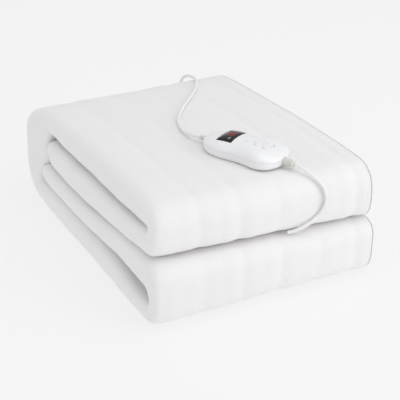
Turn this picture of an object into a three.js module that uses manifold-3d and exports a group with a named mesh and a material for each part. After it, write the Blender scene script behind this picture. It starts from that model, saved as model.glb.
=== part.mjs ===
// A heated mattress pad, folded in four across and in four along, with its hand controller lying on top.
// Millimetres, +Z up. The origin is under the middle of the folded pad, on the surface it lies on.
// The strip runs: upper layer, upper front fold, top panel, back, under panel, lower front fold,
// lower layer.

import * as THREE from "three";
import { mergeVertices } from "three/addons/utils/BufferGeometryUtils.js";
import Module from "manifold-3d";

const wasm = await Module();
wasm.setup();

// Driving dimensions of the pad
const PLY_GAP = 1.1; // between one thickness of cloth and the next
const HEM_INSET_OUTER = 7; // how far the outer hem stands back from the strip's right side
const HEM_INSET_INNER = 3;
const SIDE_FOLD_INSET = 1.5; // how far the closed side fold stands back from the right side
const TIP_ROUNDING = 15; // how much further the middle plies reach than the outer ones at a tip

// Driving dimensions of the controller, in its own frame: u along it, v across it, w up
const CONTROLLER = { x: 20.5, y: -141.5, base: 170.95, turn: -64 };
const PARTING_HEIGHT = 11.5;
const CROWN_HEIGHT = 27;
const CROWN_FULLNESS = 2.1; // 2 is a round crown, more is a flatter one
const FIT_GAP = 0.35; // between pieces that touch
const WINDOW = { u: -21.7, along: 25, across: 41.5, thick: 1.6 };
const BUTTON = { along: 10.4, across: 23, proud: 1.1, travel: 1, bottom: 17 };
const BUTTONS = [
  { name: "button_level", u: 24.6 },
  { name: "button_timer", u: 38.4 },
];
const RELIEF_HEIGHT = 8;
const RELIEF_IN_SHELL = 4;
const RELIEFS = [
  { name: "relief_mains", u: -65, length: 15.5, root: 3.9, tip: 3.3, ribs: 3 },
  { name: "relief_pad", u: 65, length: 20, root: 5.8, tip: 5.3, ribs: 4 },
];

// Driving dimensions of the leads
const LEAD_DIAMETER = 5;
const LEAD_SIDES = 8;
const LEAD_STEP = 12.5; // length of one straight facet of a lead
const COIL = { x: 82.9, y: 304, radius: 29, halfThick: 8.6 };
const TIE = { degrees: 215, thick: 0.8, width: 7, clearance: 0.7 };
const PLUG = { x: -10, y: 319, turn: 196, length: 36, width: 26, thick: 13.6, boot: 24 };
const PIN = { diameter: 4, length: 19, spacing: 18.6, inBody: 6 };

const cloth = new THREE.MeshStandardMaterial({ color: 0xf1f0ef, roughness: 0.95, metalness: 0 });
const shellPlastic = new THREE.MeshStandardMaterial({ color: 0xeeedf0, roughness: 0.3, metalness: 0 });
const buttonPlastic = new THREE.MeshStandardMaterial({ color: 0xe2e1e6, roughness: 0.4, metalness: 0 });
const windowPlastic = new THREE.MeshStandardMaterial({ color: 0x1b1718, roughness: 0.12, metalness: 0 });
const reliefRubber = new THREE.MeshStandardMaterial({ color: 0xb9b6ad, roughness: 0.6, metalness: 0 });
const leadVinyl = new THREE.MeshStandardMaterial({ color: 0xe9e7e6, roughness: 0.45, metalness: 0 });
const pinMetal = new THREE.MeshStandardMaterial({ color: 0xc9c6bd, roughness: 0.3, metalness: 1 });

const part = new THREE.Group();

function addMesh(parent, name, geometry, material) {
  const mesh = new THREE.Mesh(geometry, material.clone());
  mesh.name = name;
  parent.add(mesh);
  return mesh;
}

// Solids for cutting and joining

function toSolid(geometry) {
  const bare = geometry.clone();
  bare.deleteAttribute("normal");
  bare.deleteAttribute("uv");
  const merged = mergeVertices(bare, 1e-4);
  return new wasm.Manifold(
    new wasm.Mesh({
      numProp: 3,
      vertProperties: merged.attributes.position.array,
      triVerts: new Uint32Array(merged.index.array),
    }),
  );
}

function toGeometry(solid) {
  const mesh = solid.getMesh();
  const geometry = new THREE.BufferGeometry();
  geometry.setAttribute("position", new THREE.BufferAttribute(new Float32Array(mesh.vertProperties), 3));
  geometry.setIndex(new THREE.BufferAttribute(new Uint32Array(mesh.triVerts), 1));
  return geometry;
}

// A closed body through rings of points, all made from one outline that runs anticlockwise as seen from
// the last ring. The outline's own triangles close both ends.
function loftRings(rings, outline) {
  const count = outline.length;
  const index = [];
  for (let r = 0; r + 1 < rings.length; r++) {
    for (let i = 0; i < count; i++) {
      const a = r * count + i;
      const b = r * count + ((i + 1) % count);
      index.push(a, b, a + count, b, b + count, a + count);
    }
  }
  const last = (rings.length - 1) * count;
  for (const triangle of THREE.ShapeUtils.triangulateShape(outline, [])) {
    const isAnticlockwise = THREE.ShapeUtils.area(triangle.map((i) => outline[i])) > 0;
    const [a, b, c] = isAnticlockwise ? triangle : triangle.toReversed();
    index.push(a, c, b);
    index.push(last + a, last + b, last + c);
  }
  const geometry = new THREE.BufferGeometry();
  const positions = rings.flat().flatMap((p) => [p.x, p.y, p.z]);
  geometry.setAttribute("position", new THREE.Float32BufferAttribute(positions, 3));
  geometry.setIndex(index);
  return geometry;
}

// The folded pad
// Each row is one place along the strip. Columns: y and z of the middle of the four plies, their thickness,
// the left and right side, how far the row runs out of square and out of level (millimetres of y and of z
// for each millimetre of x), and how far the inner plies hang in slack at the closed left end.

const ROW_KEYS = ["y", "z", "thick", "left", "right", "skew", "slope", "slack"];
const UPPER_LAYER = [
  [153.5, 103, 34.3, -166, 165, 0, 0, 0],
  [134, 102, 38.5, -171, 167, 0, 0, 0],
  [84, 102.2, 41, -174.5, 168, 0, 0, 0],
  [18, 102.5, 40, -175, 169, 0, 0, 0],
  [-37, 103.2, 39, -175, 169, 0, -0.006, 0],
  [-102, 104, 34, -175, 169, 0, -0.018, 0],
  [-162, 106.1, 31, -174, 169, 0, -0.027, 0],
  [-212, 108.75, 33, -172, 169, -0.04, -0.03, 0],
];
const TOP_PANEL = [
  [-212, 150, 41, -166, 169, -0.04, 0, 0],
  [-162, 148.5, 46, -164, 171.5, 0, 0, 0],
  [-102, 147.7, 48, -164, 172.5, 0, 0, 0],
  [-42, 147.7, 48, -164, 173, 0, 0, 0],
  [23, 146.7, 45.5, -164, 173.5, 0, 0, 0],
  [83, 146.2, 42.5, -164, 174.5, 0, 0, 0],
  [133, 146.2, 37, -164, 176, 0, 0, 4],
  [173, 144.8, 32, -165, 177, 0, 0, 22],
];
const BACK = [
  [195.6, 139.5, 32, -167, 178, 0, 0, 40],
  [216.2, 130.6, 32, -168.5, 178, 0, 0, 54],
  [231.3, 118.1, 32, -169.5, 177, 0, 0, 62],
  [239.8, 103.6, 32.4, -169.5, 177, 0, 0, 64],
  [241.4, 86, 32.4, -169.5, 176, 0, 0, 69],
  [241.4, 70, 32.4, -169.5, 175, 0, 0, 58],
  [239.1, 57.6, 34, -170.5, 174, 0, 0, 46],
];
const UNDER_PANEL = [
  [192, 21, 38, -174, 173, 0, 0, 11],
  [138, 21.3, 42.6, -176, 173, 0, 0, 0],
  [58, 22, 44, -177, 173, 0, 0, 0],
  [-22, 22, 44, -177, 173, 0, 0, 0],
  [-92, 21.5, 43, -177, 173, 0, 0, 0],
  [-142, 18.5, 37, -177, 174, 0, 0, 0],
  [-187, 15, 30, -177, 174, 0, 0, 0],
  [-216, 14.5, 29, -176, 174, 0, 0, 0],
];
const LOWER_LAYER = [
  [-216, 67.4, 48, -177, 174, 0, -0.03, 0],
  [-142, 68.7, 41, -177, 173, 0, -0.025, 0],
  [-72, 65.8, 36, -177, 172, 0, -0.012, 0],
  [-2, 63.8, 34.5, -177, 172, 0, -0.003, 0],
  [68, 63, 34, -177, 171, 0, 0, 0],
  [118, 62, 34.5, -176, 170, 0, 0, 0],
  [152, 60, 34, -173.5, 169, 0, 0, 0],
  [172, 57.5, 28, -170, 168, 0, 0, 0],
];
const NOSE_STEPS = 12;
// How square the folds are, where 2 is round
const NOSE_FULL = 2.4;
const NOSE_PRESSED_ABOVE = 4.5;
const NOSE_PRESSED_BELOW = 5.5;
const NOSE_ON_FLOOR = 3.2;
const SIDE_FULL = 3;
const NOSE_SQUEEZE = 0.2; // the cloth is thinner round the front by this share
const CORNER_STEPS = 5;
const SLACK_FROM = -10; // the slack grows from here to there, in x
const SLACK_TO = -130;

function toRows(table) {
  return table.map((values) => Object.fromEntries(ROW_KEYS.map((key, i) => [key, values[i]])));
}

function mixRows(a, b, share) {
  const mixed = {};
  for (const key of ROW_KEYS) mixed[key] = a[key] + (b[key] - a[key]) * share;
  return mixed;
}

// Sine and cosine of an angle on a squared circle.
function squaredTurn(angle, squareness) {
  return [Math.sin(angle), Math.cos(angle)].map((v) => Math.sign(v) * Math.abs(v) ** (2 / squareness));
}

// Half a turn at the front, from one flat stretch up to the next one. Each row has its turning centre,
// the radius of the middle of the plies, and the ways out of its innermost ply (round) and its outermost
// ply (squared).
function frontFold(from, to, fromSquareness, toSquareness) {
  const rows = [];
  for (let k = 1; k < NOSE_STEPS; k++) {
    const angle = (Math.PI * k) / NOSE_STEPS;
    const [reach, rise] = squaredTurn(angle, 2 * k < NOSE_STEPS ? fromSquareness : toSquareness);
    const row = mixRows(from, to, (1 - Math.cos(angle)) / 2);
    row.y = (from.y + to.y) / 2;
    row.z = (from.z + to.z) / 2;
    row.thick *= 1 - NOSE_SQUEEZE * Math.sin(angle);
    row.radius = (to.z - from.z) / 2;
    row.innerWay = new THREE.Vector2(-Math.sin(angle), -Math.cos(angle));
    row.outerWay = new THREE.Vector2(-reach, -rise);
    rows.push(row);
  }
  return rows;
}

// A quarter turn at the foot of the back, from upright to flat.
function backCorner(from, to) {
  const rows = [];
  for (let k = 1; k < CORNER_STEPS; k++) {
    const angle = (Math.PI / 2) * (k / CORNER_STEPS);
    const row = mixRows(from, to, k / CORNER_STEPS);
    row.y = from.y + (to.y - from.y) * (1 - Math.cos(angle));
    row.z = from.z + (to.z - from.z) * Math.sin(angle);
    rows.push(row);
  }
  return rows;
}

// Rows with the way out of the cloth, which is square to the way they run.
function withWays(rows) {
  return rows.map((row, i) => {
    const before = rows[Math.max(0, i - 1)];
    const after = rows[Math.min(rows.length - 1, i + 1)];
    const run = new THREE.Vector2(after.y - before.y, after.z - before.z).normalize();
    const way = new THREE.Vector2(-run.y, run.x);
    return { ...row, radius: 0, innerWay: way, outerWay: way };
  });
}

const [upperLayer, topPanel, back, underPanel, lowerLayer] = [
  UPPER_LAYER,
  TOP_PANEL,
  BACK,
  UNDER_PANEL,
  LOWER_LAYER,
].map(toRows);
const STRIP = [
  ...withWays(upperLayer),
  ...frontFold(upperLayer.at(-1), topPanel[0], NOSE_PRESSED_ABOVE, NOSE_FULL),
  ...withWays([...topPanel, ...back, ...backCorner(back.at(-1), underPanel[0]), ...underPanel]),
  ...frontFold(underPanel.at(-1), lowerLayer[0], NOSE_ON_FLOOR, NOSE_PRESSED_BELOW),
  ...withWays(lowerLayer),
];

// How far the middles of the plies lie from the middle of the four, in thicknesses of one ply.
const OUTER_PLY = 1.5;
const INNER_PLY = 0.5;
const ACROSS_STEPS = 5;

// The middle line of the cloth across one place of the strip, from the outer hem to the inner hem: x runs
// across the strip, and t out from the middle of the plies.
function clothAcross({ thick, left, right }) {
  const pitch = thick / 4;
  const leftCentre = left + thick / 2;
  const rightCentre = right - SIDE_FOLD_INSET - pitch;
  const line = [];
  const straight = (fromX, toX, t) => {
    for (let k = 0; k <= ACROSS_STEPS; k++) {
      line.push(new THREE.Vector2(fromX + ((toX - fromX) * k) / ACROSS_STEPS, t));
    }
  };
  const bend = (x, t, radius, fromDegrees, toDegrees, steps, squareness) => {
    for (let k = 1; k < steps; k++) {
      const angle = THREE.MathUtils.degToRad(fromDegrees + ((toDegrees - fromDegrees) * k) / steps);
      const [s, c] = squaredTurn(angle, squareness);
      line.push(new THREE.Vector2(x + radius * c, t + radius * s));
    }
  };
  straight(right - HEM_INSET_OUTER, leftCentre, OUTER_PLY * pitch);
  bend(leftCentre, 0, OUTER_PLY * pitch, 90, 270, 8, SIDE_FULL);
  straight(leftCentre, rightCentre, -OUTER_PLY * pitch);
  bend(rightCentre, -pitch, INNER_PLY * pitch, -90, 90, 4, 2);
  straight(rightCentre, leftCentre, -INNER_PLY * pitch);
  bend(leftCentre, 0, INNER_PLY * pitch, 270, 90, 4, 2);
  straight(leftCentre, right - HEM_INSET_INNER, INNER_PLY * pitch);
  return line;
}

// The outline of the cloth across one place: along one face of it and back along the other.
function clothOutline(row) {
  const half = (row.thick / 4 - PLY_GAP) / 2;
  const line = clothAcross(row);
  const face = (side) =>
    line.map((point, i) => {
      const before = line[Math.max(0, i - 1)];
      const after = line[Math.min(line.length - 1, i + 1)];
      const run = after.clone().sub(before).normalize();
      return new THREE.Vector2(point.x + side * half * run.y, point.y - side * half * run.x);
    });
  return [...face(1), ...face(-1).reverse()];
}

function placeOnStrip(row, x, t, atTip) {
  const outward = THREE.MathUtils.clamp(t / row.thick + 0.5, 0, 1);
  const out = row.innerWay.clone().lerp(row.outerWay, outward).multiplyScalar(row.radius + t);
  const inward = THREE.MathUtils.clamp(0.5 - t / (2 * OUTER_PLY * (row.thick / 4)), 0, 1);
  const hanging = row.slack * inward * (1 - THREE.MathUtils.smoothstep(x, SLACK_TO, SLACK_FROM));
  const setBack = atTip * TIP_ROUNDING * (2 * t / row.thick) ** 2;
  return new THREE.Vector3(
    x,
    row.y + row.skew * x + out.x - hanging + row.outerWay.y * setBack,
    row.z + row.slope * x + out.y - row.outerWay.x * setBack - PLY_GAP / 2,
  );
}

function padGeometry() {
  const rings = STRIP.map((row, i) => {
    const atTip = i === 0 ? 1 : i === STRIP.length - 1 ? -1 : 0;
    return clothOutline(row).map((p) => placeOnStrip(row, p.x, p.y, atTip));
  });
  return loftRings(rings.reverse(), clothOutline(STRIP[0]));
}

addMesh(part, "pad", padGeometry(), cloth);

// The controller

const controller = new THREE.Group();
controller.position.set(CONTROLLER.x, CONTROLLER.y, CONTROLLER.base);
controller.rotation.z = THREE.MathUtils.degToRad(CONTROLLER.turn);
part.add(controller);

// Half its width along its length, seen from above: full at both ends, a slight waist between them.
const SHELL_WIDTHS = [
  { u: -63.2, half: 9.5 },
  { u: -57, half: 19 },
  { u: -47, half: 26.5 },
  { u: -34, half: 30.5 },
  { u: -20, half: 31.6 },
  { u: -5, half: 30.6 },
  { u: 8, half: 30.2 },
  { u: 20, half: 31.8 },
  { u: 32, half: 33.8 },
  { u: 43, half: 33.8 },
  { u: 53, half: 29.5 },
  { u: 60, half: 21 },
  { u: 64, half: 10 },
];
const SHELL_ENDS = { display: -65, buttons: 65 };
const SHELL_SIDES = 56;

function shellOutline() {
  const nearSide = SHELL_WIDTHS.map(({ u, half }) => new THREE.Vector3(u, -half, 0));
  const farSide = SHELL_WIDTHS.map(({ u, half }) => new THREE.Vector3(u, half, 0)).reverse();
  const points = [
    new THREE.Vector3(SHELL_ENDS.display, 0, 0),
    ...nearSide,
    new THREE.Vector3(SHELL_ENDS.buttons, 0, 0),
    ...farSide,
  ];
  return new THREE.CatmullRomCurve3(points, true, "centripetal").getSpacedPoints(SHELL_SIDES).slice(0, -1);
}

// A solid with the shell's outline at each level: share of the full outline, and height.
function shellSolid(levels, lift = 0) {
  const outline = shellOutline();
  const rings = levels.map(({ share, w }) =>
    outline.map((p) => new THREE.Vector3(p.x * share, p.y * share, w + lift)),
  );
  return toSolid(loftRings(rings, outline));
}

const LOWER_LEVELS = [
  { share: 0.9, w: 0 },
  { share: 0.955, w: 1.2 },
  { share: 0.985, w: 3.6 },
  { share: 1, w: 7.5 },
  { share: 1, w: PARTING_HEIGHT - FIT_GAP / 2 },
];
const CROWN_STEPS = 9;
const CROWN_CUT = 0.6; // share of a step that is left off, so that the top ends in a small flat
const crownLevels = [{ share: 1, w: PARTING_HEIGHT + FIT_GAP / 2 }];
for (let k = 1; k <= CROWN_STEPS; k++) {
  const angle = (Math.PI / 2) * (k / (CROWN_STEPS + CROWN_CUT));
  crownLevels.push({
    share: Math.cos(angle) ** (2 / CROWN_FULLNESS),
    w: PARTING_HEIGHT + (CROWN_HEIGHT - PARTING_HEIGHT) * Math.sin(angle) ** (2 / CROWN_FULLNESS),
  });
}

const FAR_ABOVE = 20;

// An upright post through the crown, on the controller's middle line.
function post(shape, u, fromW) {
  const depth = CROWN_HEIGHT + FAR_ABOVE - fromW;
  const geometry = new THREE.ExtrudeGeometry(shape, { depth, bevelEnabled: false, curveSegments: 8 });
  return toSolid(geometry.translate(u, 0, fromW));
}

function windowShape(grow) {
  const [a, b] = [WINDOW.along / 2 + grow, WINDOW.across / 2 + grow];
  return new THREE.Shape([
    new THREE.Vector2(-a, -b),
    new THREE.Vector2(a, -b),
    new THREE.Vector2(a, b),
    new THREE.Vector2(-a, b),
  ]);
}

function buttonShape(grow) {
  const [a, b] = [BUTTON.along / 2 + grow, BUTTON.across / 2 + grow];
  return new THREE.Shape().absellipse(0, 0, a, b, 0, 2 * Math.PI);
}

// A closed lathe body about the controller's length, from its root inside the shell to its tip.
const RIB = { depth: 0.7, grooveShare: 0.35, slopeShare: 0.1, landShare: 0.45 };
const RIBS_FROM = RELIEF_IN_SHELL + 1.5;
const PLAIN_TIP = 2.5; // length of the relief's end that has no ribs

function reliefProfile({ length, root, tip, ribs }) {
  const profile = [new THREE.Vector2(0, 0), new THREE.Vector2(root, 0)];
  profile.push(new THREE.Vector2(root, RELIEF_IN_SHELL));
  const pitch = (length - PLAIN_TIP - RIBS_FROM) / ribs;
  const grooveEnd = RIB.grooveShare * pitch;
  const ribStart = grooveEnd + RIB.slopeShare * pitch;
  const ribEnd = ribStart + RIB.landShare * pitch;
  for (let k = 0; k < ribs; k++) {
    const start = RIBS_FROM + k * pitch;
    const ribRadius = root + ((tip - root) * start) / length;
    const grooveRadius = ribRadius - RIB.depth;
    profile.push(new THREE.Vector2(grooveRadius, start));
    profile.push(new THREE.Vector2(grooveRadius, start + grooveEnd));
    profile.push(new THREE.Vector2(ribRadius, start + ribStart));
    profile.push(new THREE.Vector2(ribRadius, start + ribEnd));
  }
  profile.push(new THREE.Vector2(tip, length), new THREE.Vector2(0, length));
  return profile;
}

const RELIEF_SIDES = 16;

// Lathe bodies are made about Y, so this one is laid along the controller, pointing away from it.
function alongController(geometry, u) {
  const away = Math.sign(u);
  const placed = geometry.rotateZ(away > 0 ? -Math.PI / 2 : Math.PI / 2);
  return placed.translate(u - away * RELIEF_IN_SHELL, 0, RELIEF_HEIGHT);
}

let base = shellSolid(LOWER_LEVELS);
let cover = shellSolid(crownLevels);
const crownOver = (lift) => shellSolid([{ share: 1, w: -FAR_ABOVE }, ...crownLevels], lift);

for (const relief of RELIEFS) {
  const lathe = new THREE.LatheGeometry(reliefProfile(relief), RELIEF_SIDES);
  addMesh(controller, relief.name, alongController(lathe, relief.u), reliefRubber);
  const holeRadius = relief.root + FIT_GAP;
  const holeProfile = [
    new THREE.Vector2(0, -FIT_GAP),
    new THREE.Vector2(holeRadius, -FIT_GAP),
    new THREE.Vector2(holeRadius, relief.length),
    new THREE.Vector2(0, relief.length),
  ];
  const hole = toSolid(alongController(new THREE.LatheGeometry(holeProfile, RELIEF_SIDES), relief.u));
  base = base.subtract(hole);
  cover = cover.subtract(hole);
}

const windowPost = post(windowShape(0), WINDOW.u, 0);
const windowPane = windowPost.intersect(crownOver(0)).subtract(crownOver(-WINDOW.thick));
const windowPocket = post(windowShape(FIT_GAP), WINDOW.u, 0).subtract(crownOver(-WINDOW.thick - FIT_GAP));
cover = cover.subtract(windowPocket);
addMesh(controller, "display_window", toGeometry(windowPane), windowPlastic);

for (const { name, u } of BUTTONS) {
  const button = post(buttonShape(0), u, BUTTON.bottom).intersect(crownOver(BUTTON.proud));
  const wellFloor = BUTTON.bottom - 2 * BUTTON.travel;
  cover = cover.subtract(post(buttonShape(FIT_GAP), u, wellFloor));
  addMesh(controller, name, toGeometry(button), buttonPlastic);
}
addMesh(controller, "controller_base", toGeometry(base), shellPlastic);
addMesh(controller, "controller_cover", toGeometry(cover), shellPlastic);

// The leads
// Each route is chosen by hand, from where the lead leaves a piece to where it meets the next.

const MAINS_ROUTE = [
  [-13.2, -72.4, 178.95],
  [-14.8, -69.1, 178.85],
  [-16.4, -65.4, 178.6],
  [-18.7, -57.8, 177.7],
  [-19.8, -48.5, 176.3],
  [-19.2, -37, 174.7],
  [-16.8, -23.5, 173.5],
  [-12.4, -6.5, 172.8],
  [-4.9, 12.5, 172],
  [8.2, 35, 171.3],
  [31.4, 65.5, 170.3],
  [52.2, 89.5, 169.2],
  [76.2, 118.5, 167.8],
  [92.5, 142, 166.2],
  [103, 159.5, 164.6],
  [111, 175, 163],
  [115.8, 189, 161.2],
  [117.7, 205, 159.2],
  [118.2, 221, 155.6],
  [118.8, 235, 149],
  [119.2, 246, 139.4],
  [119.6, 254, 126.5],
  [119.9, 259, 110],
  [120.2, 260.8, 92],
  [120.4, 261, 70],
  [120.6, 261, 48],
  [120.7, 261.4, 29],
  [120.7, 263.8, 17.2],
  [120.6, 270, 8.8],
  [120.4, 277.4, 4.6],
  [120, 285.6, 3.1],
  [119.5, 295, 2.9],
];
const PAD_ROUTE = [
  [56.3, -214.85, 178.95],
  [57.9, -218.25, 178.5],
  [61.3, -224.8, 176.7],
  [66.3, -231.9, 172.5],
  [73, -239.4, 166],
  [79.4, -246, 158.1],
  [83.1, -250.9, 149.3],
  [84.4, -253.1, 139.1],
  [83.4, -253.3, 129.4],
  [79.4, -252.9, 120.6],
  [73, -252.4, 113.4],
  [65, -251.6, 107.5],
  [56.4, -250, 102.5],
  [48, -247.5, 98],
  [40, -244.1, 94.6],
  [32, -240.8, 92.7],
];
const PLUG_ROUTE = [
  [54.8, 330.6, 6.4],
  [47.6, 334, 4.2],
  [39, 335, 3.1],
  [30.6, 332.4, 4.2],
  [24.8, 329.4, 5.8],
  [19.4, 327.4, 6.7],
  [13.35, 325.7, 6.8],
];

function leadTube(route) {
  const curve = new THREE.CatmullRomCurve3(route.map(([x, y, z]) => new THREE.Vector3(x, y, z)));
  const section = new THREE.Shape();
  const radius = LEAD_DIAMETER / 2;
  for (let k = 0; k < LEAD_SIDES; k++) {
    const angle = (2 * Math.PI * k) / LEAD_SIDES;
    const [x, y] = [radius * Math.cos(angle), radius * Math.sin(angle)];
    if (k === 0) section.moveTo(x, y);
    else section.lineTo(x, y);
  }
  return new THREE.ExtrudeGeometry(section, {
    steps: Math.round(curve.getLength() / LEAD_STEP),
    extrudePath: curve,
  });
}

addMesh(part, "mains_lead", leadTube(MAINS_ROUTE), leadVinyl);
addMesh(part, "pad_lead", leadTube(PAD_ROUTE), leadVinyl);
addMesh(part, "plug_lead", leadTube(PLUG_ROUTE), leadVinyl);

// The wound part of the mains lead, with its tie

const tieInner = COIL.halfThick + TIE.clearance;
const tieOuter = tieInner + TIE.thick;
const coilHeight = tieOuter;
const COIL_SECTION_SIDES = 12;
const coilProfile = [];
for (let k = 0; k <= COIL_SECTION_SIDES; k++) {
  const angle = (2 * Math.PI * k) / COIL_SECTION_SIDES;
  coilProfile.push(
    new THREE.Vector2(COIL.radius + COIL.halfThick * Math.cos(angle), COIL.halfThick * Math.sin(angle)),
  );
}
const COIL_SIDES = 36;
const coil = addMesh(part, "mains_coil", new THREE.LatheGeometry(coilProfile, COIL_SIDES), leadVinyl);
coil.rotation.x = Math.PI / 2;
coil.position.set(COIL.x, COIL.y, coilHeight);

const tieProfile = [
  new THREE.Vector2(tieInner, -TIE.width / 2),
  new THREE.Vector2(tieOuter, -TIE.width / 2),
  new THREE.Vector2(tieOuter, TIE.width / 2),
  new THREE.Vector2(tieInner, TIE.width / 2),
  new THREE.Vector2(tieInner, -TIE.width / 2),
];
const TIE_SIDES = 24;
const tie = addMesh(part, "coil_tie", new THREE.LatheGeometry(tieProfile, TIE_SIDES), reliefRubber);
const tieTurn = THREE.MathUtils.degToRad(TIE.degrees);
tie.rotation.z = tieTurn;
tie.position.set(
  COIL.x + COIL.radius * Math.cos(tieTurn),
  COIL.y + COIL.radius * Math.sin(tieTurn),
  coilHeight,
);

// The plug, lying on its flat side, with its boot towards the coil

const plug = new THREE.Group();
plug.position.set(PLUG.x, PLUG.y, PLUG.thick / 2);
plug.rotation.z = THREE.MathUtils.degToRad(PLUG.turn);
part.add(plug);

const PLUG_CORNER = 2.4; // rounding of its edges
const SHOULDER_SHARE = 0.45; // share of its length over which it widens from the boot
const BOOT_WALL = 0.6; // at the boot's thin end, round the lead
const BOOT_STEP = 2; // between the body's faces and the boot's thick end

function plugBody() {
  const half = PLUG.width / 2 - PLUG_CORNER;
  const neck = PLUG.thick / 2 - PLUG_CORNER;
  const shoulder = SHOULDER_SHARE * PLUG.length;
  const outline = new THREE.Shape();
  outline.moveTo(PLUG_CORNER, -neck);
  outline.lineTo(shoulder, -half);
  outline.lineTo(PLUG.length - PLUG_CORNER, -half);
  outline.lineTo(PLUG.length - PLUG_CORNER, half);
  outline.lineTo(shoulder, half);
  outline.lineTo(PLUG_CORNER, neck);
  const body = new THREE.ExtrudeGeometry(outline, {
    depth: PLUG.thick - 2 * PLUG_CORNER,
    bevelThickness: PLUG_CORNER,
    bevelSize: PLUG_CORNER,
    bevelSegments: 3,
  }).translate(0, 0, PLUG_CORNER - PLUG.thick / 2);
  const bootRadius = PLUG.thick / 2 - BOOT_STEP;
  const bootProfile = [
    new THREE.Vector2(0, -PLUG.boot),
    new THREE.Vector2(LEAD_DIAMETER / 2 + BOOT_WALL, -PLUG.boot),
    new THREE.Vector2(bootRadius, 0),
    new THREE.Vector2(bootRadius, PLUG_CORNER),
    new THREE.Vector2(0, PLUG_CORNER),
  ];
  const boot = new THREE.LatheGeometry(bootProfile, RELIEF_SIDES).rotateZ(-Math.PI / 2);
  return toSolid(body).add(toSolid(boot));
}

const PIN_SIDES = 14;
const PIN_TIP = { share: 0.6, along: 1 }; // its end is tapered to this share of its radius

function pinAt(side, grow) {
  const radius = PIN.diameter / 2 + grow;
  const profile = [
    new THREE.Vector2(0, -grow),
    new THREE.Vector2(radius, -grow),
    new THREE.Vector2(radius, PIN.length + PIN.inBody - PIN_TIP.along),
    new THREE.Vector2(PIN_TIP.share * radius, PIN.length + PIN.inBody),
    new THREE.Vector2(0, PIN.length + PIN.inBody),
  ];
  return new THREE.LatheGeometry(profile, PIN_SIDES)
    .rotateZ(-Math.PI / 2)
    .translate(PLUG.length - PIN.inBody, (side * PIN.spacing) / 2, 0);
}

let plugSolid = plugBody();
const PINS = [
  { name: "pin_left", side: 1 },
  { name: "pin_right", side: -1 },
];
for (const { name, side } of PINS) {
  plugSolid = plugSolid.subtract(toSolid(pinAt(side, FIT_GAP)));
  addMesh(plug, name, pinAt(side, 0), pinMetal);
}
addMesh(plug, "mains_plug", toGeometry(plugSolid), leadVinyl);

export default part;
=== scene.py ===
"""A white fleece heated mattress pad, folded in four across and in four along, with its hand controller.

Metres, +Z up. The origin is under the middle of the folded pad, on the surface it lies on.
"""

import math

import bmesh
import bpy
import numpy as np
from mathutils import Matrix, Vector


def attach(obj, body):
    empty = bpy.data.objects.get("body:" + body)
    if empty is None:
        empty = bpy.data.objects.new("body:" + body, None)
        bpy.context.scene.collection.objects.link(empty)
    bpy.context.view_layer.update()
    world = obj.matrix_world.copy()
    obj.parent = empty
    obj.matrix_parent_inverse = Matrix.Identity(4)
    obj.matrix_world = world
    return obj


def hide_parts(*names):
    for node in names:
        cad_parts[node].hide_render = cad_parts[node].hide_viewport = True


MM = 0.001

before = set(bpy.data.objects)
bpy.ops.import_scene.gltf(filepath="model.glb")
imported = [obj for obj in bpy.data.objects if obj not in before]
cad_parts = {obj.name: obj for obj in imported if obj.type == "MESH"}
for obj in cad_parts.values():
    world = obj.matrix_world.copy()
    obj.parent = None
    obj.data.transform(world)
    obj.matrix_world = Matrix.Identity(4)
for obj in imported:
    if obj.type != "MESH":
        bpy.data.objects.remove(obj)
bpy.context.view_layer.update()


# Camera

CAMERA_PLACE = Vector((-0.6644, -1.3024, 0.7752))
CAMERA_AZIMUTH = math.radians(-27.9)
CAMERA_ELEVATION = math.radians(26.6)
CAMERA_LENS = 95.13
CAMERA_SENSOR = 36.0
CAMERA_CLIPS = (0.05, 60.0)


def link_object(name, data):
    made = bpy.data.objects.new(name, data)
    bpy.context.scene.collection.objects.link(made)
    return made


def make_camera():
    data = bpy.data.cameras.new("camera")
    data.lens = CAMERA_LENS
    data.sensor_width = CAMERA_SENSOR
    data.clip_start, data.clip_end = CAMERA_CLIPS
    camera = link_object("camera", data)
    level = math.cos(CAMERA_ELEVATION)
    x, y = math.sin(CAMERA_AZIMUTH) * level, -math.cos(CAMERA_AZIMUTH) * level
    away = Vector((x, y, math.sin(CAMERA_ELEVATION)))
    camera.location = CAMERA_PLACE
    camera.rotation_euler = (-away).to_track_quat("-Z", "Y").to_euler()
    bpy.context.scene.camera = camera


make_camera()


# Shader groups that several finishes share

NOISE_BAND = (0.35, 0.65)  # nearly all of a noise lies between these
FIBRES_PER_CLUMP = 5.0
CLUMP_SHARE = 0.55
PILE_SHARE = 0.6
FLEECE_DRIFT_SCALE = 9.0
SMUDGE_SCALE = 60.0
SMUDGE_BAND = (0.45, 0.7)
PLASTIC_DRIFT_SCALE = 25.0
PLASTIC_DARKEST = 0.975


def new_group(name, inputs, outputs):
    """An empty node group with its sockets: inputs are (name, kind, value), outputs (name, kind)."""
    group = bpy.data.node_groups.new(name, "ShaderNodeTree")
    for label, kind, value in inputs:
        socket = group.interface.new_socket(label, in_out="INPUT", socket_type=kind)
        socket.default_value = value
    for label, kind in outputs:
        group.interface.new_socket(label, in_out="OUTPUT", socket_type=kind)
    return group, group.nodes.new("NodeGroupInput"), group.nodes.new("NodeGroupOutput")


def add_node(tree, kind, **settings):
    node = tree.nodes.new(kind)
    for key, value in settings.items():
        setattr(node, key, value)
    return node


def add_noise(tree, coords, scale, detail=2.0, roughness=0.5):
    noise = add_node(tree, "ShaderNodeTexNoise")
    noise.inputs["Detail"].default_value = detail
    noise.inputs["Roughness"].default_value = roughness
    if isinstance(scale, (int, float)):
        noise.inputs["Scale"].default_value = scale
    else:
        tree.links.new(scale, noise.inputs["Scale"])
    tree.links.new(coords, noise.inputs["Vector"])
    return noise.outputs["Fac"]


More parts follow.
